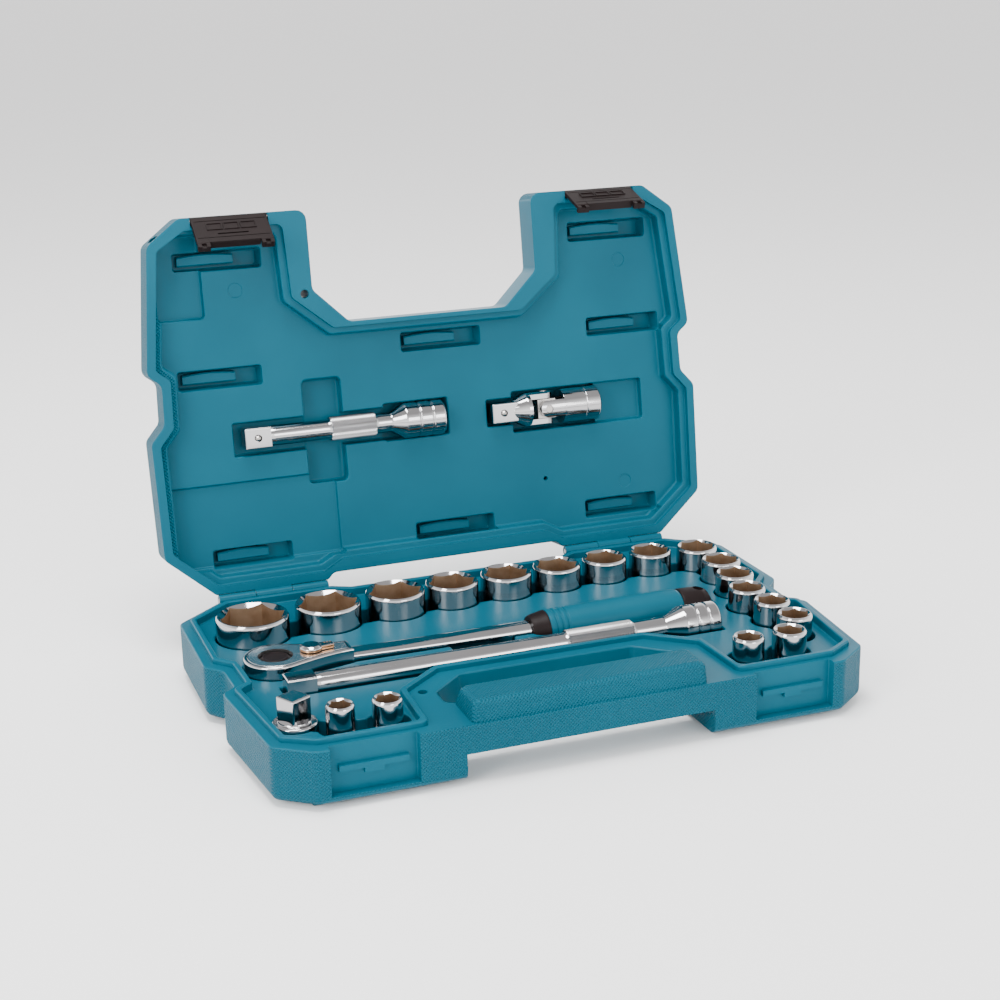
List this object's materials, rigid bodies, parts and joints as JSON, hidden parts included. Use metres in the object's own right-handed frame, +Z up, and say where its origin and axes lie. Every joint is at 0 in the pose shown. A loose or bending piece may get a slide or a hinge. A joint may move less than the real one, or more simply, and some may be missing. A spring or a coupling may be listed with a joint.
{
  "type": "socket wrench set in case",
  "caption": "Half-inch drive socket wrench set in a hinged blow-moulded plastic case, with ratchet, extension bars, universal joint and adapter, each lifting out of its own pocket.",
  "frame": {"origin": "centre of the box round the open case, at the height its feet stand on", "axes": "+X to the right along the case and its hinge line, +Y from the handle to the hinges, +Z up"},
  "size_m": [0.348, 0.2824, 0.2534],
  "materials": {
    "teal_plastic": "moulded, satin, part smooth and part with a fine diamond texture",
    "black_plastic": "moulded, satin, brown-black",
    "chrome": "polished, with a satin band on some sockets",
    "steel": "turned and ground, unplated"
  },
  "bodies": {
    "base": {"case_base": "teal_plastic", "hinge_pin_left": "steel", "hinge_pin_right": "steel"},
    "lid": {"case_lid": "teal_plastic"},
    "latch_pin_left": {"latch_pin_left": "steel"},
    "latch_pin_right": {"latch_pin_right": "steel"},
    "latch_left": {"latch_left": "black_plastic"},
    "latch_right": {"latch_right": "black_plastic"},
    "socket_32mm": {"socket_32mm": "chrome"},
    "socket_30mm": {"socket_30mm": "chrome"},
    "socket_27mm": {"socket_27mm": "chrome"},
    "socket_24mm": {"socket_24mm": "chrome"},
    "socket_23mm": {"socket_23mm": "chrome"},
    "socket_22mm": {"socket_22mm": "chrome"},
    "socket_21mm": {"socket_21mm": "chrome"},
    "socket_20mm": {"socket_20mm": "chrome"},
    "socket_19mm": {"socket_19mm": "chrome"},
    "socket_18mm": {"socket_18mm": "chrome"},
    "socket_17mm": {"socket_17mm": "chrome"},
    "socket_16mm": {"socket_16mm": "chrome"},
    "socket_15mm": {"socket_15mm": "chrome"},
    "socket_14mm": {"socket_14mm": "chrome"},
    "socket_13mm": {"socket_13mm": "chrome"},
    "socket_12mm": {"socket_12mm": "chrome"},
    "socket_10mm": {"socket_10mm": "chrome"},
    "socket_11mm": {"socket_11mm": "chrome"},
    "adapter": {"adapter_body": "chrome"},
    "adapter_ball": {"adapter_ball": "steel"},
    "long_extension": {"long_extension_bar": "chrome"},
    "long_extension_ball": {"long_extension_ball": "steel"},
    "short_extension": {"short_extension_bar": "chrome"},
    "short_extension_ball": {"short_extension_ball": "steel"},
    "joint_socket_end": {"joint_socket_yoke": "chrome"},
    "joint_cross": {"joint_block": "steel", "joint_long_pin": "steel", "joint_short_pin_inner": "steel", "joint_short_pin_outer": "steel"},
    "joint_drive_end": {"joint_drive_yoke": "chrome"},
    "joint_ball": {"joint_ball": "steel"},
    "ratchet": {"ratchet_head_and_bar": "chrome", "ratchet_cover_plate": "chrome", "ratchet_cover_screw_front": "steel", "ratchet_cover_screw_rear": "steel", "ratchet_grip_collar": "black_plastic", "ratchet_grip_sleeve": "teal_plastic", "ratchet_grip_end_cap": "black_plastic", "ratchet_pawl_spring": "steel"},
    "gear": {"ratchet_gear": "steel", "ratchet_release_spring": "steel"},
    "release_button": {"ratchet_release_button": "black_plastic"},
    "drive_ball": {"ratchet_drive_ball": "steel"},
    "reversing_lever": {"ratchet_reversing_lever": "black_plastic"},
    "pawl": {"ratchet_pawl": "steel"}
  },
  "joints": [
    {"name": "lid_hinge", "type": "hinge", "parent": "base", "child": "lid", "pos_m": [0, 0.0829, 0.032], "axis": [-1, 0, 0], "range_deg": [-98.77, 0]},
    {"name": "latch_left_swing_in", "type": "hinge", "parent": "lid", "child": "latch_pin_left", "pos_m": [-0.1164, 0.12064, 0.2504], "axis": [-1, 0, 0], "range_deg": [0, 42]},
    {"name": "latch_left_open", "type": "hinge", "parent": "latch_pin_left", "child": "latch_left", "pos_m": [-0.1164, 0.12064, 0.2504], "axis": [-1, 0, 0], "range_deg": [0, 130]},
    {"name": "latch_right_swing_in", "type": "hinge", "parent": "lid", "child": "latch_pin_right", "pos_m": [0.1164, 0.12064, 0.2504], "axis": [-1, 0, 0], "range_deg": [0, 25]},
    {"name": "latch_right_open", "type": "hinge", "parent": "latch_pin_right", "child": "latch_right", "pos_m": [0.1164, 0.12064, 0.2504], "axis": [-1, 0, 0], "range_deg": [0, 130]},
    {"name": "socket_32mm_lift", "type": "slide", "parent": "base", "child": "socket_32mm", "axis": [0, 0, 1], "range_m": [0, 0.06]},
    {"name": "socket_30mm_lift", "type": "slide", "parent": "base", "child": "socket_30mm", "axis": [0, 0, 1], "range_m": [0, 0.06]},
    {"name": "socket_27mm_lift", "type": "slide", "parent": "base", "child": "socket_27mm", "axis": [0, 0, 1], "range_m": [0, 0.06]},
    {"name": "socket_24mm_lift", "type": "slide", "parent": "base", "child": "socket_24mm", "axis": [0, 0, 1], "range_m": [0, 0.06]},
    {"name": "socket_23mm_lift", "type": "slide", "parent": "base", "child": "socket_23mm", "axis": [0, 0, 1], "range_m": [0, 0.06]},
    {"name": "socket_22mm_lift", "type": "slide", "parent": "base", "child": "socket_22mm", "axis": [0, 0, 1], "range_m": [0, 0.06]},
    {"name": "socket_21mm_lift", "type": "slide", "parent": "base", "child": "socket_21mm", "axis": [0, 0, 1], "range_m": [0, 0.06]},
    {"name": "socket_20mm_lift", "type": "slide", "parent": "base", "child": "socket_20mm", "axis": [0, 0, 1], "range_m": [0, 0.06]},
    {"name": "socket_19mm_lift", "type": "slide", "parent": "base", "child": "socket_19mm", "axis": [0, 0, 1], "range_m": [0, 0.06]},
    {"name": "socket_18mm_lift", "type": "slide", "parent": "base", "child": "socket_18mm", "axis": [0, 0, 1], "range_m": [0, 0.06]},
    {"name": "socket_17mm_lift", "type": "slide", "parent": "base", "child": "socket_17mm", "axis": [0, 0, 1], "range_m": [0, 0.06]},
    {"name": "socket_16mm_lift", "type": "slide", "parent": "base", "child": "socket_16mm", "axis": [0, 0, 1], "range_m": [0, 0.06]},
    {"name": "socket_15mm_lift", "type": "slide", "parent": "base", "child": "socket_15mm", "axis": [0, 0, 1], "range_m": [0, 0.06]},
    {"name": "socket_14mm_lift", "type": "slide", "parent": "base", "child": "socket_14mm", "axis": [0, 0, 1], "range_m": [0, 0.06]},
    {"name": "socket_13mm_lift", "type": "slide", "parent": "base", "child": "socket_13mm", "axis": [0, 0, 1], "range_m": [0, 0.06]},
    {"name": "socket_12mm_lift", "type": "slide", "parent": "base", "child": "socket_12mm", "axis": [0, 0, 1], "range_m": [0, 0.06]},
    {"name": "socket_10mm_lift", "type": "slide", "parent": "base", "child": "socket_10mm", "axis": [0, 0, 1], "range_m": [0, 0.06]},
    {"name": "socket_11mm_lift", "type": "slide", "parent": "base", "child": "socket_11mm", "axis": [0, 0, 1], "range_m": [0, 0.06]},
    {"name": "adapter_lift", "type": "slide", "parent": "base", "child": "adapter", "axis": [0, 0, 1], "range_m": [0, 0.06]},
    {"name": "adapter_ball_press", "type": "slide", "parent": "adapter", "child": "adapter_ball", "axis": [0.4695, -0.8829, 0], "range_m": [0, 0.0008], "stiffness_N_per_m": 20, "springref_m": -0.01},
    {"name": "long_extension_lift", "type": "slide", "parent": "base", "child": "long_extension", "axis": [0, 0, 1], "range_m": [0, 0.06]},
    {"name": "long_extension_ball_press", "type": "slide", "parent": "long_extension", "child": "long_extension_ball", "axis": [0, -1, 0], "range_m": [0, 0.0008], "stiffness_N_per_m": 20, "springref_m": -0.01},
    {"name": "short_extension_pull", "type": "slide", "parent": "lid", "child": "short_extension", "axis": [0, -0.9883, 0.1525], "range_m": [0, 0.06]},
    {"name": "short_extension_ball_press", "type": "slide", "parent": "short_extension", "child": "short_extension_ball", "axis": [0, 0.9883, -0.1525], "range_m": [0, 0.0008], "stiffness_N_per_m": 20, "springref_m": -0.01},
    {"name": "universal_joint_pull", "type": "slide", "parent": "lid", "child": "joint_socket_end", "axis": [0, -0.9883, 0.1525], "range_m": [0, 0.06]},
    {"name": "joint_cross_turn", "type": "hinge", "parent": "joint_socket_end", "child": "joint_cross", "pos_m": [0.0743, 0.10841, 0.11994], "axis": [0, 0.9883, -0.1525], "range_deg": [-4, 4]},
    {"name": "joint_drive_bend", "type": "hinge", "parent": "joint_cross", "child": "joint_drive_end", "pos_m": [0.0743, 0.10841, 0.11994], "axis": [0, 0.1525, 0.9883], "range_deg": [0, 35]},
    {"name": "joint_ball_press", "type": "slide", "parent": "joint_drive_end", "child": "joint_ball", "axis": [0, 0.9883, -0.1525], "range_m": [0, 0.0008], "stiffness_N_per_m": 20, "springref_m": -0.01},
    {"name": "ratchet_lift", "type": "slide", "parent": "base", "child": "ratchet", "axis": [0, 0, 1], "range_m": [0, 0.06]},
    {"name": "gear_spin", "type": "hinge", "parent": "ratchet", "child": "gear", "pos_m": [-0.137, -0.0257, 0.0277], "axis": [0, 0, 1], "continuous": true},
    {"name": "release_button_press", "type": "slide", "parent": "gear", "child": "release_button", "axis": [0, 0, -1], "range_m": [0, 0.003], "stiffness_N_per_m": 100, "springref_m": -0.005, "deforming": ["ratchet_release_spring"]},
    {"name": "drive_ball_retract", "type": "slide", "parent": "gear", "child": "drive_ball", "axis": [0, 1, 0], "range_m": [0, 0.00085]},
    {"name": "lever_turn", "type": "hinge", "parent": "ratchet", "child": "reversing_lever", "pos_m": [-0.117, -0.0257, 0.0277], "axis": [0, 0, 1], "range_deg": [-20, 20]},
    {"name": "pawl_turn", "type": "hinge", "parent": "ratchet", "child": "pawl", "pos_m": [-0.117, -0.0257, 0.0277], "axis": [0, 0, 1], "range_deg": [-20, 20]}
  ],
  "couplings": [
    {"joint": "latch_left_swing_in", "follows": "lid_hinge", "ratio": -0.42523},
    {"joint": "latch_right_swing_in", "follows": "lid_hinge", "ratio": -0.25311},
    {"joint": "drive_ball_retract", "follows": "release_button_press", "ratio": 0.2833},
    {"joint": "pawl_turn", "follows": "lever_turn", "ratio": 1}
  ]
}
